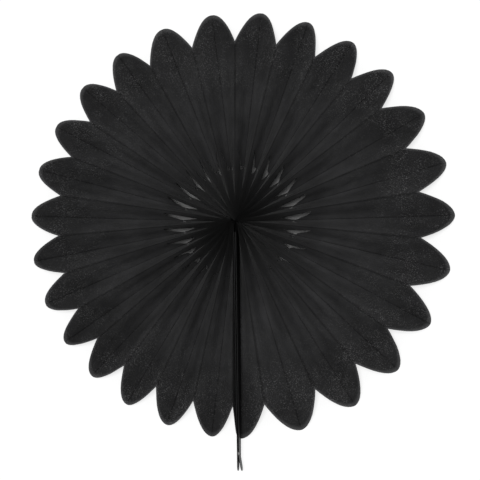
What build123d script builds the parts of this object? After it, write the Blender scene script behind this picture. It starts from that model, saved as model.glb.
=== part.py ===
from build123d import *
import math
import os

os.makedirs("parts", exist_ok=True)

# Driving sizes, in mm. The fan lies on its back: +Z is up out of its face, the seam is toward -Y.
tip_radius = 203.5
notch_radius = 172.5
hub_radius = 6.0
hub_front_height = 42.0
hub_back_height = 14.0
notch_height = 21.0
hub_top_height = 39.0
hub_bottom_height = 17.0
sheet_thickness = 0.4
window_inner_radius = 46.5
window_outer_radius = 58.3
window_corner_radius = 70.0
card_thickness = 0.5
tape_thickness = 1.0
seam_fold_gap = 0.7
card_start_radius = 10.0
tab_length = 29.5
card_floor_gap = 0.3
tab_corner_radius = 6.0
tab_flare_length = 13.0
tab_flare = 2.2
tape_start_radius = 24.0
tape_end_overrun = 1.5
hole_radius = 2.75
hole_end_inset = 16.0

# Widths of the petals round the circle, in turn from the seam, as shares of the mean width.
petal_shares = [1.24, 1.11, 1.10, 1.12, 1.14, 1.07, 1.06, 1.10, 1.00, 1.00, 0.97, 0.99, 1.03,
                1.09, 1.00, 0.97, 0.95, 0.96, 0.96, 0.90, 0.91, 0.84, 0.91, 0.91, 0.94, 0.94]
# The seam petal is in two halves, one on each end card.
first_half_share = 0.59
last_half_share = 0.06
# Places across a panel, from its front fold to its back fold.
column_shares = [0.0, 0.22, 0.46, 0.7, 0.95, 1.0]
# Columns that a window opens. Its edges meet on the column before them and the one after.
open_columns = (2, 3)
# Where each column leaves and meets the window, between its inner or outer and its corner radius.
window_from_shares = [1.0, 1.0, 0.64, 0.0, 0.0, 0.0]
window_to_shares = [1.0, 1.0, 0.66, 0.35, 0.0, 0.0]
# Places along a column, from the hub to the window and from the window to the rim.
inner_station_shares = [0.0, 0.08, 0.25, 0.55, 1.0]
outer_station_shares = [0.0, 0.5, 1.0]
# Back and front edge of the tape, at either end of it, as shares of the cards' depth there.
tape_start_shares = (0.15, 0.66)
tape_end_shares = (0.24, 0.47)
# The most of the tab's end that one of its round corners can take.
corner_limit_share = 0.48

# Sizes that follow
tip_height = sheet_thickness / 2
card_end_radius = tip_radius + tab_length
tab_flare_start_radius = card_end_radius - tab_flare_length
tape_end_radius = tip_radius + tape_end_overrun
hole_centre_radius = card_end_radius - hole_end_inset
seam_offset = tape_thickness / 2 + card_thickness + sheet_thickness / 2
panel_shares = [first_half_share]
for share in petal_shares:
    panel_shares.append(share / 2)
    panel_shares.append(share / 2)
panel_shares.append(last_half_share)
fold_count = len(panel_shares) + 3
last_fold = fold_count - 1


def front_height(radius):
    """Height of the front folds, which fall from the hub to the notches."""
    return hub_front_height + (notch_height - hub_front_height) * radius / notch_radius


def back_height(radius):
    """Height of the back folds, which fall from the hub to the petal tips."""
    return hub_back_height + (tip_height - hub_back_height) * radius / tip_radius


def fold_angle(fold, radius):
    """Direction of a fold at this radius. The first and last two lie flat on the end cards."""
    seam = -math.pi / 2
    if fold < 2:
        return seam + math.asin(seam_offset / radius)
    if fold > last_fold - 2:
        return seam + 2 * math.pi - math.asin(seam_offset / radius)
    edge = math.asin((seam_offset + seam_fold_gap) / radius)
    turned = sum(panel_shares[:fold - 1]) / sum(panel_shares)
    return seam + edge + turned * (2 * math.pi - 2 * edge)


def fold_point(fold, radius):
    """Middle of the sheet on a fold. Folds with an even number are at the front."""
    height = front_height(radius) if fold % 2 == 0 else back_height(radius)
    angle = fold_angle(fold, radius)
    return Vector(radius * math.cos(angle), radius * math.sin(angle), height)


def panel_normal(panel, radius):
    """Upward normal of a panel, across its slope at this radius."""
    before = fold_angle(panel, radius)
    after = fold_angle(panel + 1, radius)
    middle = (before + after) / 2
    across = Vector(-math.sin(middle), math.cos(middle), 0)
    if panel in (0, last_fold - 1):
        across = Vector(1, 0, 0)
    width = 2 * radius * math.sin((after - before) / 2)
    rise = fold_point(panel + 1, radius).Z - fold_point(panel, radius).Z
    return (across * -rise + Vector(0, 0, width)).normalized()


def fold_corner(fold, panel, radius, side):
    """Corner of a panel at one of its folds, on the upper (1) or lower (-1) side of the sheet."""
    half = sheet_thickness / 2
    normal = panel_normal(panel, radius)
    outer_side = 1 if fold % 2 == 0 else -1
    if fold in (0, last_fold) or side == outer_side:
        return fold_point(fold, radius) + normal * half * side
    other = panel_normal(2 * fold - 1 - panel, radius)
    mitre = (normal + other) * half / (1 + normal.dot(other))
    return fold_point(fold, radius) + mitre * side


def sheet_point(panel, column, radius, side):
    """Point on a panel's surface, a share of the way from its front fold to its back fold."""
    front = panel if panel % 2 == 0 else panel + 1
    back = panel + 1 if panel % 2 == 0 else panel
    start = fold_corner(front, panel, radius, side)
    end = fold_corner(back, panel, radius, side)
    return start + (end - start) * column_shares[column]


def rim_radius(column):
    """Die-cut rim, an arch from the notch at the front fold to the tip at the back fold."""
    rise = math.sin(math.pi / 2 * column_shares[column])
    return notch_radius + (tip_radius - notch_radius) * rise


def has_window(panel):
    """The petal that is split between the two end cards is whole."""
    return 1 < panel < last_fold - 2


def window_start(column):
    if column not in open_columns:
        return window_end(column)
    span = window_corner_radius - window_inner_radius
    return window_inner_radius + span * window_from_shares[column]


def window_end(column):
    span = window_corner_radius - window_outer_radius
    return window_outer_radius + span * window_to_shares[column]


def column_line(panel, column, part):
    """Radii of the stations on one column of the inner or the outer part of a panel."""
    if part == "inner":
        start = hub_radius
        end = window_start(column)
        return [start + (end - start) * share for share in inner_station_shares]
    start = window_end(column) if has_window(panel) else window_start(column)
    end = rim_radius(column)
    return [start + (end - start) * share for share in outer_station_shares]


def triangle(a, b, c):
    return Face(Wire.make_polygon([a, b, c], close=True))


def strip(line, other):
    """Triangles between two lines of points, which may share their first or last point."""
    found = []
    for i in range(len(line) - 1):
        if (line[i] - other[i]).length > 0:
            found.append(triangle(line[i], line[i + 1], other[i]))
        if (line[i + 1] - other[i + 1]).length > 0:
            found.append(triangle(line[i + 1], other[i + 1], other[i]))
    return found


def surface_line(panel, column, part, side):
    """Points from the hub outward along one column of a panel."""
    return [sheet_point(panel, column, radius, side) for radius in column_line(panel, column, part)]


def edge_line(panel, edge_radius, side):
    """Points across a panel, from its front fold to its back fold, along one of its edges."""
    columns = range(len(column_shares))
    return [sheet_point(panel, column, edge_radius(column), side) for column in columns]


def hub_edge(column):
    """The inner edge of every panel is straight."""
    return hub_radius


def panel_faces(panel):
    """Upper and lower side of one panel, with the cut edges of its rim and its window."""
    found = []
    for part in ("inner", "outer"):
        for side in (1, -1):
            lines = [surface_line(panel, column, part, side) for column in range(len(column_shares))]
            for line, other in zip(lines, lines[1:]):
                found += strip(line, other)
    found += strip(edge_line(panel, rim_radius, 1), edge_line(panel, rim_radius, -1))
    if has_window(panel):
        for edge_radius in (window_start, window_end):
            upper = edge_line(panel, edge_radius, 1)[1:-1]
            lower = edge_line(panel, edge_radius, -1)[1:-1]
            found += strip(upper, lower)
    return found


def fold_faces(fold):
    """Narrow flat along the outer side of a fold, and its cut end at the rim."""
    found = []
    side = 1 if fold % 2 == 0 else -1
    column = 0 if fold % 2 == 0 else len(column_shares) - 1
    for part in ("inner", "outer"):
        line = surface_line(fold - 1, column, part, side)
        other = surface_line(fold, column, part, side)
        found += strip(line, other)
    edge = rim_radius(column)
    before = sheet_point(fold - 1, column, edge, side)
    after = sheet_point(fold, column, edge, side)
    inner = sheet_point(fold, column, edge, -side)
    found.append(triangle(before, after, inner))
    return found


def free_edge_faces(panel):
    """Cut front edge of the panel at either end of the strip."""
    found = []
    for part in ("inner", "outer"):
        found += strip(surface_line(panel, 0, part, 1), surface_line(panel, 0, part, -1))
    return found


def hub_faces():
    """The folds pressed together and glued at the hub, closed on the side of the seam too."""
    found = []
    top = Vector(0, 0, hub_top_height)
    bottom = Vector(0, 0, hub_bottom_height)
    for side, peak in ((1, top), (-1, bottom)):
        for panel in range(last_fold):
            line = edge_line(panel, hub_edge, side)
            for start, end in zip(line, line[1:]):
                found.append(triangle(start, end, peak))
        for fold in range(1, last_fold):
            column = 0 if fold % 2 == 0 else len(column_shares) - 1
            start = sheet_point(fold - 1, column, hub_radius, side)
            end = sheet_point(fold, column, hub_radius, side)
            if (fold % 2 == 0) == (side == 1):
                found.append(triangle(start, end, peak))
    for panel in (0, last_fold - 1):
        upper = sheet_point(panel, 0, hub_radius, 1)
        lower = sheet_point(panel, 0, hub_radius, -1)
        found.append(triangle(top, upper, lower))
        found.append(triangle(top, lower, bottom))
    return found


def pleated_tissue():
    """The whole strip of tissue, one sheet from end card to end card."""
    faces = hub_faces()
    for panel in range(last_fold):
        faces += panel_faces(panel)
    for fold in range(1, last_fold):
        faces += fold_faces(fold)
    for panel in (0, last_fold - 1):
        faces += free_edge_faces(panel)
    return Solid(Shell(faces))


def card_height(radius, share):
    """Height at this radius that is a share of the end panel's depth, or of the tab's past it."""
    low = max(back_height(radius), card_floor_gap)
    return low + (front_height(radius) - low) * share


def card_outline():
    """Side of an end card: as deep as the end panel, then a straight tab with round corners."""
    floor_share = (hub_back_height - card_floor_gap) / (hub_back_height - tip_height)
    floor_radius = tip_radius * floor_share
    points = [(-card_start_radius, back_height(card_start_radius)),
              (-floor_radius, card_floor_gap),
              (-card_end_radius, card_floor_gap),
              (-card_end_radius, front_height(card_end_radius)),
              (-card_start_radius, front_height(card_start_radius))]
    outline = Polygon(*points, align=None)
    tab_depth = front_height(card_end_radius) - card_floor_gap
    corner_radius = min(tab_corner_radius, tab_depth * corner_limit_share)
    return fillet(outline.vertices().sort_by(Axis.X)[:2], corner_radius)


def card_plan(flare):
    """Edge of an end card seen from above. Its tab can bend away from the other card's."""
    inner = tape_thickness / 2
    outer = inner + card_thickness
    points = [(inner, -card_start_radius), (inner, -tab_flare_start_radius)]
    if flare > 0:
        points += [(inner + flare, -card_end_radius), (outer + flare, -card_end_radius)]
    else:
        points += [(inner, -card_end_radius), (outer, -card_end_radius)]
    points += [(outer, -tab_flare_start_radius), (outer, -card_start_radius)]
    return Polygon(*points, align=None)


def end_card(flare):
    """Card on the right of the seam, with its punched hanging hole."""
    side = extrude(Plane.YZ * card_outline(), amount=hub_front_height, both=True)
    edge = extrude(card_plan(flare), amount=hub_front_height)
    hole_height = card_height(hole_centre_radius, 1 / 2)
    drill = Pos(0, -hole_centre_radius, hole_height) * Rot(Y=90) * Cylinder(hole_radius, hub_front_height)
    return (side & edge) - drill


def seam_tape():
    """Double-sided tape that holds the two cards together, set back from their edges."""
    start_back, start_front = [card_height(tape_start_radius, share) for share in tape_start_shares]
    end_back, end_front = [card_height(tape_end_radius, share) for share in tape_end_shares]
    points = [(-tape_start_radius, start_back), (-tape_end_radius, end_back),
              (-tape_end_radius, end_front), (-tape_start_radius, start_front)]
    return extrude(Plane.YZ * Polygon(*points, align=None), amount=tape_thickness / 2, both=True)


pieces = {
    "pleated_tissue": pleated_tissue(),
    "end_card_right": end_card(tab_flare),
    "end_card_left": mirror(end_card(0), Plane.YZ),
    "seam_tape": seam_tape(),
}

# The frame's origin is under the middle of the whole fan's box, on the floor.
boxes = [piece.bounding_box() for piece in pieces.values()]
middle_x = (min(box.min.X for box in boxes) + max(box.max.X for box in boxes)) / 2
middle_y = (min(box.min.Y for box in boxes) + max(box.max.Y for box in boxes)) / 2
floor_z = min(box.min.Z for box in boxes)
to_origin = Pos(-middle_x, -middle_y, -floor_z)
for name, piece in pieces.items():
    moved = to_origin * piece
    export_step(moved, f"parts/{name}.step")
    print(name, "volume", round(moved.volume), "valid", moved.is_valid, moved.bounding_box())
print("hub at", to_origin.position)
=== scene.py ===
import bpy
import math
from mathutils import Matrix, Vector, noise


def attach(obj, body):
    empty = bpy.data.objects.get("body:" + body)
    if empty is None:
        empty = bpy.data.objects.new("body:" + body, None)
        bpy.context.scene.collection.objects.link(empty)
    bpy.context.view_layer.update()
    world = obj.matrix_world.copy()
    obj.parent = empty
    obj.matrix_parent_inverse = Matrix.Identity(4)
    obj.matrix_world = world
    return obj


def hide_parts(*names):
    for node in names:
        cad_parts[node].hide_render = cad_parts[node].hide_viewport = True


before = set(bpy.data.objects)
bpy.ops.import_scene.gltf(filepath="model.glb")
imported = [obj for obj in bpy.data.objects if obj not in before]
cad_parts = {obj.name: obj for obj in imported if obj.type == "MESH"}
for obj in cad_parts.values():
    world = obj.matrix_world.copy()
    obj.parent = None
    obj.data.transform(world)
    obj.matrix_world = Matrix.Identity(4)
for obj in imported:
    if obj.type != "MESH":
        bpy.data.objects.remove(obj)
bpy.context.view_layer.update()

# Sizes in metres, as in the part's source
MM = 0.001
hub_x = -0.0508 * MM
hub_y = 15.2681 * MM
floor_shift = -0.0269 * MM
tip_radius = 203.5 * MM
notch_radius = 172.5 * MM
hub_front_height = 42.0 * MM
hub_back_height = 14.0 * MM
notch_height = 21.0 * MM
panel_width = 28.0 * MM
card_thickness = 0.5 * MM
tape_thickness = 1.0 * MM
cad_sheet_thickness = 0.4 * MM
seam_fold_gap = 0.7 * MM
window_outer_radius = 61.0 * MM
petal_shares = [1.24, 1.11, 1.10, 1.12, 1.14, 1.07, 1.06, 1.10, 1.00, 1.00, 0.97, 0.99, 1.03,
                1.09, 1.00, 0.97, 0.95, 0.96, 0.96, 0.90, 0.91, 0.84, 0.91, 0.91, 0.94, 0.94]
first_half_share = 0.59
last_half_share = 0.06

# The folds: even ones are front folds, and panel n lies between fold n and fold n + 1
tip_height = cad_sheet_thickness / 2
seam_offset = tape_thickness / 2 + card_thickness + cad_sheet_thickness / 2
panel_shares = [first_half_share]
for petal_share in petal_shares:
    panel_shares += [petal_share / 2, petal_share / 2]
panel_shares.append(last_half_share)
last_fold = len(panel_shares) + 2
end_panels = (0, last_fold - 1)

# The real paper, as far as a mesh can show it
paper_thickness = 0.12 * MM
hub_radius = 3.0 * MM
hub_top_height = 39.0 * MM
hub_bottom_height = 17.0 * MM

# How uneven the paper is, from coarse to fine: rate across the panels, rate outward, seed, height in mm
unevenness = [(0.9, 22, 3.7, 0.9), (2.6, 90, 1.3, 0.42), (7.0, 260, 8.1, 0.2)]
uneven_from = 20 * MM
uneven_grows_over = 90 * MM
uneven_by_fold = 0.25
# How far each panel bulges one way by its front fold and the other way by its back fold, in mm
bulge_height = 0.4

# The mesh columns of a panel, from its front fold to its back fold: share of the way across,
# and where the die-cut window starts and ends in that column, in mm from the hub
window_columns = [(0.0, 70.5, 70.5), (0.1, 70.5, 70.5), (0.22, 70.5, 70.5), (0.34, 63.0, 69.8),
                  (0.46, 54.0, 68.2), (0.58, 46.5, 65.6), (0.68, 41.5, 62.5), (0.78, 44.5, 59.5),
                  (0.88, 49.5, 57.0), (0.95, 54.5, 54.5), (1.0, 54.5, 54.5)]
column_shares = [share for share, start, end in window_columns]
columns = len(window_columns) - 1
# Mesh rows between the hub and the windows, and between the windows and the rim
part_rows = {"inner": 12, "outer": 34}

# How far the windows stand open, as shares of that cut, and how those on the fan's left differ
open_when_turned_away = 0.14
open_more_toward_seam = 0.92
open_by_seam = 0.08
open_level_with_hub = 0.92
left_widening = 0.1
left_shift = 1.2 * MM
# Where a window is narrower than this, the paper stays whole
narrowest_cut = 0.05 * MM


def front_height(radius):
    return hub_front_height + (notch_height - hub_front_height) * radius / notch_radius


def back_height(radius):
    return hub_back_height + (tip_height - hub_back_height) * radius / tip_radius


def fold_angle(fold, radius):
    """Angle of a fold round the hub. The first two and the last two lie along the cards."""
    seam = -math.pi / 2
    if fold < 2:
        return seam + math.asin(min(1, seam_offset / radius))
    if fold > last_fold - 2:
        return seam + 2 * math.pi - math.asin(min(1, seam_offset / radius))
    edge = math.asin(min(1, (seam_offset + seam_fold_gap) / radius))
    turned = sum(panel_shares[:fold - 1]) / sum(panel_shares)
    return seam + edge + turned * (2 * math.pi - 2 * edge)


def fold_point(fold, radius):
    height = front_height(radius) if fold % 2 == 0 else back_height(radius)
    angle = fold_angle(fold, radius)
    return Vector((radius * math.cos(angle), radius * math.sin(angle), height))


def panel_normal(panel, radius):
    """Direction that the panel's upper side faces."""
    before = fold_angle(panel, radius)
    after = fold_angle(panel + 1, radius)
    middle = (before + after) / 2
    across = Vector((-math.sin(middle), math.cos(middle), 0))
    if panel in end_panels:
        across = Vector((1, 0, 0))
    width = 2 * radius * math.sin((after - before) / 2)
    rise = fold_point(panel + 1, radius).z - fold_point(panel, radius).z
    return (across * -rise + Vector((0, 0, width))).normalized()


def fold_corner(fold, panel, radius, side):
    """Edge of the paper at a fold: blunt outside the fold, mitred inside it."""
    half = paper_thickness / 2
    normal = panel_normal(panel, radius)
    if fold in (0, last_fold):
        return fold_point(fold, radius) + normal * half * side
    other = panel_normal(2 * fold - 1 - panel, radius)
    outer_side = 1 if fold % 2 == 0 else -1
    if side == outer_side:
        return fold_point(fold, radius) + (normal + other).normalized() * half * side
    mitre = (normal + other) * half / (1 + normal.dot(other))
    return fold_point(fold, radius) + mitre * side


def crinkle(panel, share, radius):
    """How far the paper stands off its plain panel: creases, coarse and fine, and a slow bulge."""
    free = math.sin(math.pi * share)
    if free < 0.001:
        return 0.0
    across = panel + (share if panel % 2 == 0 else 1 - share)
    raised = 0.0
    for rate_across, rate_outward, seed, height in unevenness:
        raised += noise.noise(Vector((across * rate_across, radius * rate_outward, seed))) * height
    grown = min(1.0, max(0.0, (radius - uneven_from) / uneven_grows_over))
    raised *= grown * (uneven_by_fold + (1 - uneven_by_fold) * free)
    outward = math.sin(math.pi * min(1.0, radius / tip_radius))
    bulge = math.sin(2 * math.pi * share) * bulge_height * outward
    return (raised + bulge * free) * MM


def sheet_point(panel, share, radius, side):
    """A point of the sheet, on its upper side (1) or its lower side (-1)."""
    front = panel if panel % 2 == 0 else panel + 1
    back = panel + 1 if panel % 2 == 0 else panel
    start = fold_corner(front, panel, radius, side)
    end = fold_corner(back, panel, radius, side)
    flat = start + (end - start) * share
    if panel in end_panels:
        return flat
    return flat + panel_normal(panel, radius) * crinkle(panel, share, radius)


def rim_radius(share):
    return notch_radius + (tip_radius - notch_radius) * math.sin(math.pi / 2 * share)


def gape(panel):
    """The cut gapes in the panels that face the seam's side, and lies almost shut in the others."""
    normal = panel_normal(panel, window_outer_radius)
    toward_seam = max(0.0, -normal.y / math.hypot(normal.x, normal.y))
    rising = open_level_with_hub * (1 + math.sin(fold_angle(panel, window_outer_radius)))
    away_from_seam = max(open_by_seam, min(1.0, rising))
    return away_from_seam * (open_when_turned_away + open_more_toward_seam * toward_seam)


def window_edge(panel, column, way):
    """Radius of the window's inner edge (way -1) or outer edge (way 1) in one column of a panel.

    The cut isn't quite even: on the fan's left it is a little wider and nearer the hub.
    """
    start = window_columns[column][1] * MM
    end = window_columns[column][2] * MM
    left = max(0.0, -math.cos(fold_angle(panel, window_outer_radius)))
    width = (end - start) * gape(panel) * (1 + left_widening * left)
    return (start + end) / 2 + way * width / 2 - left_shift * left


def opening(panel, column):
    """Length of the window in one column of a panel. The panels on the cards and beside them have none."""
    if panel < 2 or panel > last_fold - 3:
        return 0.0
    return window_edge(panel, column, 1) - window_edge(panel, column, -1)


class Sheet:
    """The whole strip as one closed sheet, from end card to end card."""

    def __init__(self):
        self.points = []
        self.faces = []
        self.numbers = {}
        self.maps = {"strip": [], "rim": []}

    def add_point(self, point, across, radius, from_rim):
        """Adds a point, and its places on the laid-out strip and by the rim, for the material."""
        self.points.append(point + Vector((hub_x, hub_y, floor_shift)))
        self.maps["strip"].append((across * panel_width, radius))
        self.maps["rim"].append((from_rim, across))
        return len(self.points) - 1

    def vertex(self, panel, column, part, row, side):
        """Number of a point of the sheet. Neighbouring panels share the points along their fold."""
        whole = opening(panel, column) < narrowest_cut
        if part == "outer" and row == 0 and whole:
            part = "inner"
            row = part_rows["inner"]
        strip_column = panel * columns + (column if panel % 2 == 0 else columns - column)
        key = (strip_column, part, row, side)
        if key not in self.numbers:
            share = column_shares[column]
            rim = rim_radius(share)
            if part == "inner":
                begin = hub_radius
                finish = window_edge(panel, column, -1)
            else:
                begin = window_edge(panel, column, -1 if whole else 1)
                finish = rim
            radius = begin + (finish - begin) * (row / part_rows[part])
            point = sheet_point(panel, share, radius, side)
            self.numbers[key] = self.add_point(point, strip_column / columns, radius, rim - radius)
        return self.numbers[key]

    def add_face(self, *corners):
        """Adds a face, without the corners that have fallen together."""
        ring = list(dict.fromkeys(corners))
        if len(ring) > 2:
            self.faces.append(ring)

    def add_panel(self, panel):
        for part, rows in part_rows.items():
            for column in range(columns):
                for row in range(rows):
                    for side in (1, -1):
                        a = self.vertex(panel, column, part, row, side)
                        b = self.vertex(panel, column, part, row + 1, side)
                        c = self.vertex(panel, column + 1, part, row + 1, side)
                        d = self.vertex(panel, column + 1, part, row, side)
                        if (panel % 2 == 0) == (side == 1):
                            self.add_face(a, b, c, d)
                        else:
                            self.add_face(d, c, b, a)

    def add_cut_edges(self, panel):
        """The paper's thickness along the panel's rim and round its window."""
        for column in range(columns):
            edges = [("outer", part_rows["outer"], True)]
            if max(opening(panel, column), opening(panel, column + 1)) >= narrowest_cut:
                edges += [("inner", part_rows["inner"], True), ("outer", 0, False)]
            for part, row, outward in edges:
                a = self.vertex(panel, column, part, row, 1)
                b = self.vertex(panel, column + 1, part, row, 1)
                c = self.vertex(panel, column + 1, part, row, -1)
                d = self.vertex(panel, column, part, row, -1)
                if (panel % 2 == 0) == outward:
                    self.add_face(a, d, c, b)
                else:
                    self.add_face(b, c, d, a)

    def add_free_edge(self, panel):
        """The paper's thickness along the front of an end panel, where the strip ends."""
        for part, rows in part_rows.items():
            for row in range(rows):
                a = self.vertex(panel, 0, part, row, 1)
                b = self.vertex(panel, 0, part, row + 1, 1)
                c = self.vertex(panel, 0, part, row + 1, -1)
                d = self.vertex(panel, 0, part, row, -1)
                if panel == 0:
                    self.add_face(d, c, b, a)
                else:
                    self.add_face(a, b, c, d)

    def add_hub(self):
        """The middle, where the folds are pressed together."""
        top = self.add_point(Vector((0, 0, hub_top_height)), 0, 0, tip_radius)
        bottom = self.add_point(Vector((0, 0, hub_bottom_height)), 0, 0, tip_radius)
        for panel in range(last_fold):
            for column in range(columns):
                for side, peak in ((1, top), (-1, bottom)):
                    a = self.vertex(panel, column, "inner", 0, side)
                    b = self.vertex(panel, column + 1, "inner", 0, side)
                    if (panel % 2 == 0) == (side == 1):
                        self.add_face(a, b, peak)
                    else:
                        self.add_face(b, a, peak)
        for panel in end_panels:
            upper = self.vertex(panel, 0, "inner", 0, 1)
            lower = self.vertex(panel, 0, "inner", 0, -1)
            if panel == 0:
                self.add_face(upper, top, bottom, lower)
            else:
                self.add_face(lower, bottom, top, upper)

    def mesh(self, name):
        mesh = bpy.data.meshes.new(name)
        mesh.from_pydata(self.points, [], self.faces)
        mesh.validate()
        for map_name, places in self.maps.items():
            layer = mesh.uv_layers.new(name=map_name)
            for loop in mesh.loops:
                layer.data[loop.index].uv = places[loop.vertex_index]
        return mesh


def tissue_mesh():
    sheet = Sheet()
    for panel in range(last_fold):
        sheet.add_panel(panel)
        sheet.add_cut_edges(panel)
    for panel in end_panels:
        sheet.add_free_edge(panel)
    sheet.add_hub()
    return sheet.mesh("tissue")


def on_end_panel(mesh, polygon):
    """Whether a face belongs to one of the two panels that are glued to the cards."""
    strip = mesh.uv_layers["strip"].data
    across = [strip[loop].uv[0] / panel_width for loop in polygon.loop_indices]
    rounding = 0.02
    return max(across) < 1 + rounding or min(across) > last_fold - 1 - rounding


class Nodes:
    """Short way to write the nodes of a material or of the world."""

    def __init__(self, tree):
        self.tree = tree

    def set(self, node, inputs):
        """Gives each named input a plain value, or a link from another node's output."""
        for name, value in inputs.items():
            if isinstance(value, bpy.types.NodeSocket):
                self.tree.links.new(value, node.inputs[name])
            else:
                node.inputs[name].default_value = value

    def add(self, kind, inputs=None, **settings):
        node = self.tree.nodes.new(kind)
        for name, value in settings.items():
            setattr(node, name, value)
        self.set(node, inputs or {})
        return node

    def noise(self, place, scale, detail, roughness):
        values = {"Vector": place, "Scale": scale, "Detail": detail, "Roughness": roughness}
        return self.add("ShaderNodeTexNoise", values).outputs["Fac"]

    def calculate(self, operation, *values):
        return self.add("ShaderNodeMath", dict(enumerate(values)), operation=operation).outputs["Value"]

    def map_range(self, value, source, result):
        """Turns the range source, a pair of values, into the range result, and stays within it."""
        values = {"Value": value, "From Min": source[0], "From Max": source[1],
                  "To Min": result[0], "To Max": result[1]}
        return self.add("ShaderNodeMapRange", values).outputs["Result"]

    def ramp(self, value, stops):
        """Colour ramp, from pairs of place and colour."""
        node = self.add("ShaderNodeValToRGB", {"Fac": value})
        elements = node.color_ramp.elements
        elements[0].position = stops[0][0]
        elements[1].position = stops[-1][0]
        for place, colour in stops[1:-1]:
            elements.new(place)
        for element, (place, colour) in zip(elements, stops):
            element.color = (*colour, 1)
        return node.outputs["Color"]

    def mix(self, blend, factor, under, over):
        values = {"Factor": factor, "A": under, "B": over}
        return self.add("ShaderNodeMix", values, data_type="RGBA", blend_type=blend).outputs["Result"]

    def bump(self, height, strength, distance):
        values = {"Height": height, "Strength": strength, "Distance": distance}
        return self.add("ShaderNodeBump", values).outputs["Normal"]

    def split(self, vector):
        return self.add("ShaderNodeSeparateXYZ", {"Vector": vector}).outputs


def new_material(name):
    """A material, its nodes and its shader."""
    material = bpy.data.materials.new(name)
    material.use_nodes = True
    return material, Nodes(material.node_tree), material.node_tree.nodes["Principled BSDF"]


def grey(tone):
    return (tone, tone, tone)


def glued_material():
    """The two end panels, stiff and dull with the glue that holds them to their cards, and painted darker
    than the other panels as painted shade.
    """
    material, nodes, shader = new_material("glued_tissue")
    place = nodes.add("ShaderNodeTexCoord").outputs["Object"]
    cloud = nodes.noise(place, scale=90, detail=6, roughness=0.6)
    # Painted shade: a darker black than the rest of the tissue
    tone = nodes.ramp(cloud, [(0, (0.003, 0.003, 0.0032)), (1, (0.009, 0.009, 0.0094))])
    nodes.set(shader, {"Base Color": tone, "Roughness": 0.8, "Specular IOR Level": 0.12,
                       "Normal": nodes.bump(cloud, strength=0.3, distance=0.5 * MM)})
    return material


def cloudy_paper(nodes, place, from_hub):
    """Cloudy black, with painted light and shade by distance from the hub: dark by the hub, palest midway
    out, darker again toward the rim.
    """
    cloud = nodes.noise(place, scale=38, detail=6, roughness=0.62)
    tone = nodes.ramp(cloud, [(0.3, (0.022, 0.022, 0.0227)), (0.72, (0.04, 0.04, 0.0412))])
    # Painted light and shade: how pale the paper is painted on the way from the hub to just past the rim,
    # against its palest
    reach = 210 * MM
    painted_paleness_by_radius = [(0.0, 0.1), (0.1, 0.34), (0.2, 0.66), (0.35, 0.82), (0.48, 0.88), (0.62, 0.78),
                (0.8, 0.5), (1.0, 0.43)]
    outward = nodes.calculate("MULTIPLY", from_hub, 1 / reach)
    painted_light_and_shade = nodes.ramp(outward, [(share, grey(pale)) for share, pale in painted_paleness_by_radius])
    return nodes.mix("MULTIPLY", 1.0, tone, painted_light_and_shade)


def folded(nodes, paper, across, from_hub):
    """A thin painted shade line along each crease, and painted light that makes the back folds paler where
    the pleats are steep.
    """
    turn = nodes.calculate("MULTIPLY", across, math.pi / panel_width)
    wave = nodes.calculate("COSINE", turn)
    by_fold = nodes.calculate("ABSOLUTE", wave)
    # Painted shade: a thin dark line along every fold
    line = nodes.map_range(by_fold, (0.97, 0.999), (0.0, 0.4))
    painted_crease_shade = nodes.mix("MULTIPLY", line, paper, (0, 0, 0, 1))
    # Painted light: the back folds are painted paler where the pleats are steep, against their shade
    valley = nodes.map_range(wave, (0.6, -1.0), (0.0, 1.0))
    steep = nodes.map_range(from_hub, (150 * MM, 70 * MM), (0.0, 1.0))
    painted_valley_light = nodes.calculate("MULTIPLY", valley, steep)
    return nodes.mix("MULTIPLY", painted_valley_light, painted_crease_shade, (1.8, 1.8, 1.8, 1))


def specked(nodes, paper, place, from_hub):
    """Pale specks in patches, more of them toward the rim."""
    speck = nodes.noise(place, scale=1000, detail=1, roughness=0.6)
    dots = nodes.ramp(speck, [(0.55, grey(0)), (0.7, grey(0.08))])
    outer = nodes.map_range(from_hub, (100 * MM, 165 * MM), (0.08, 1.0))
    drift = nodes.noise(place, scale=42, detail=3, roughness=0.6)
    patchy = nodes.map_range(drift, (0.4, 0.66), (0.15, 1.0))
    return nodes.mix("ADD", nodes.calculate("MULTIPLY", outer, patchy), paper, dots)


def rimmed(nodes, paper):
    """A painted highlight along the cut rim, which is painted paler than the rest."""
    from_rim = nodes.split(nodes.add("ShaderNodeUVMap", uv_map="rim").outputs["UV"])["X"]
    # Painted highlight: paler within 4.8 mm of the rim
    near = nodes.map_range(from_rim, (0.0, 4.8 * MM), (1.0, 0.0))
    return nodes.mix("ADD", near, paper, (0.045, 0.045, 0.046, 1))


def pressed_relief(nodes, place, strip):
    """Fine crinkles, and streaks that run outward along the panels."""
    crease = nodes.noise(place, scale=210, detail=5, roughness=0.6)
    drawn_out = nodes.add("ShaderNodeMapping", {"Vector": strip, "Scale": (1.0, 0.07, 1.0)})
    streak = nodes.noise(drawn_out.outputs["Vector"], scale=420, detail=4, roughness=0.6)
    relief = nodes.calculate("ADD", crease, streak)
    return nodes.bump(relief, strength=0.4, distance=0.6 * MM)


def tissue_material():
    material, nodes, shader = new_material("black_tissue")
    place = nodes.add("ShaderNodeTexCoord").outputs["Object"]
    strip = nodes.add("ShaderNodeUVMap", uv_map="strip").outputs["UV"]
    along = nodes.split(strip)
    across = along["X"]
    from_hub = along["Y"]
    paper = cloudy_paper(nodes, place, from_hub)
    paper = folded(nodes, paper, across, from_hub)
    paper = specked(nodes, paper, place, from_hub)
    paper = rimmed(nodes, paper)
    nodes.set(shader, {"Base Color": paper, "Roughness": 0.8, "Specular IOR Level": 0.08,
                       "Sheen Weight": 0.02, "Sheen Roughness": 0.35,
                       "Normal": pressed_relief(nodes, place, strip)})
    return material


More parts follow.
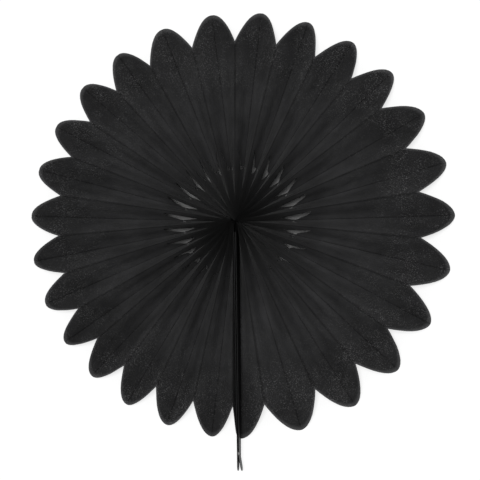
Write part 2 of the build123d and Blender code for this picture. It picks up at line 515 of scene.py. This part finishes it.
def card_material():
    """Black card: its broad faces are coated and shine a little, and its cut edges are dull."""
    material, nodes, shader = new_material("black_card")
    surface = nodes.add("ShaderNodeTexCoord").outputs
    fibre = nodes.noise(surface["Object"], scale=300, detail=5, roughness=0.65)
    tone = nodes.ramp(fibre, [(0.3, (0.004, 0.004, 0.0042)), (0.7, (0.008, 0.008, 0.0083))])
    sideways = nodes.calculate("ABSOLUTE", nodes.split(surface["Normal"])["X"])
    dull = nodes.map_range(sideways, (0.6, 0.8), (0.85, 0.52))
    nodes.set(shader, {"Base Color": tone, "Roughness": dull, "Specular IOR Level": 0.25,
                       "Normal": nodes.bump(fibre, strength=0.25, distance=0.2 * MM)})
    return material


def tape_material():
    material, nodes, shader = new_material("dark_tape")
    place = nodes.add("ShaderNodeTexCoord").outputs["Object"]
    grain = nodes.noise(place, scale=500, detail=3, roughness=0.6)
    tone = nodes.ramp(grain, [(0, grey(0.003)), (1, grey(0.007))])
    nodes.set(shader, {"Base Color": tone, "Roughness": 0.6})
    return material


def ground_material():
    """White ground, nearly plain white to the camera past the fan, where it keeps a pale shadow.

    Under the middle of the fan it is painted grey, a painted shadow, and only the windows show it there.
    """
    material, nodes, shader = new_material("white_ground")
    here = nodes.add("ShaderNodeNewGeometry").outputs["Position"]
    spread = nodes.add("ShaderNodeVectorMath", {0: here, 1: (hub_x, hub_y, 0)}, operation="DISTANCE")
    from_hub = spread.outputs["Value"]
    # Painted shadow: grey under the middle of the fan, white past it
    tone = nodes.map_range(from_hub, (120 * MM, 165 * MM), (0.22, 0.96))
    colour = nodes.add("ShaderNodeCombineColor", {0: tone, 1: tone, 2: tone}).outputs["Color"]
    nodes.set(shader, {"Base Color": colour, "Roughness": 0.9})
    past_fan = nodes.map_range(from_hub, (140 * MM, 165 * MM), (0.0, 0.7))
    camera_ray = nodes.add("ShaderNodeLightPath").outputs["Is Camera Ray"]
    in_view = nodes.calculate("MULTIPLY", past_fan, camera_ray)
    plain = nodes.add("ShaderNodeEmission", {"Color": (1, 1, 1, 1), "Strength": 1.0})
    surface = nodes.add("ShaderNodeMixShader", {0: in_view, 1: shader.outputs["BSDF"],
                                                2: plain.outputs["Emission"]})
    nodes.set(nodes.tree.nodes["Material Output"], {"Surface": surface.outputs["Shader"]})
    return material


def new_object(name, data):
    obj = bpy.data.objects.new(name, data)
    bpy.context.scene.collection.objects.link(obj)
    return obj


def paint(obj, material):
    obj.data.materials.clear()
    obj.data.materials.append(material)


def ground_mesh():
    reach = 4.0
    corners = [(-reach, -reach, 0), (reach, -reach, 0), (reach, reach, 0), (-reach, reach, 0)]
    mesh = bpy.data.meshes.new("ground")
    mesh.from_pydata(corners, [], [(0, 1, 2, 3)])
    return mesh


def light_room():
    """Soft light from all round, a little more of it from beyond the fan's top, and plain white in view."""
    world = bpy.data.worlds.new("studio")
    bpy.context.scene.world = world
    world.use_nodes = True
    sky = Nodes(world.node_tree)
    direction = sky.split(sky.add("ShaderNodeTexCoord").outputs["Generated"])
    room = sky.map_range(direction["Y"], (-0.8, 0.8), (0.3, 0.5))
    camera_ray = sky.add("ShaderNodeLightPath").outputs["Is Camera Ray"]
    seen = sky.add("ShaderNodeMix", {"Factor": camera_ray, "A": room, "B": 1.0}, data_type="FLOAT")
    sky.set(sky.tree.nodes["Background"], {"Color": (1, 1, 1, 1), "Strength": seen.outputs["Result"]})


def light_from_above():
    """The main lamp, soft and nearly over the fan."""
    sun = bpy.data.lights.new("key", "SUN")
    sun.energy = 2.5
    sun.angle = math.radians(22)
    toward_lamp = Vector((-0.015, 0.055, 1.0))
    key = new_object("key", sun)
    key.rotation_mode = "QUATERNION"
    key.rotation_quaternion = toward_lamp.to_track_quat("Z", "Y")


def place_camera():
    """Over the fan, a little to its right and toward the seam, looking at the middle of the fan's box."""
    data = bpy.data.cameras.new("camera")
    data.sensor_width = 36
    data.lens = 119.1
    data.clip_start = 0.05
    data.clip_end = 20
    camera = new_object("camera", data)
    camera.location = (0.18, -0.09, 1.5)
    back = camera.location.normalized()
    right = Vector((0, 1, 0)).cross(back).normalized()
    camera.rotation_mode = "QUATERNION"
    camera.rotation_quaternion = Matrix((right, back.cross(right), back)).transposed().to_quaternion()
    bpy.context.scene.camera = camera


# The tissue, in place of its solid
tissue = new_object("tissue_fan", tissue_mesh())
paint(tissue, tissue_material())
tissue.data.materials.append(glued_material())
for polygon in tissue.data.polygons:
    polygon.material_index = 1 if on_end_panel(tissue.data, polygon) else 0
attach(tissue, "root")
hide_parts("pleated_tissue")

# The cards and the tape are the solids themselves
card = card_material()
paint(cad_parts["end_card_right"], card)
paint(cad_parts["end_card_left"], card)
paint(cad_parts["seam_tape"], tape_material())

# Ground, light and camera
floor = new_object("ground", ground_mesh())
paint(floor, ground_material())
light_room()
light_from_above()
place_camera()
bpy.context.scene.view_settings.view_transform = "Standard"
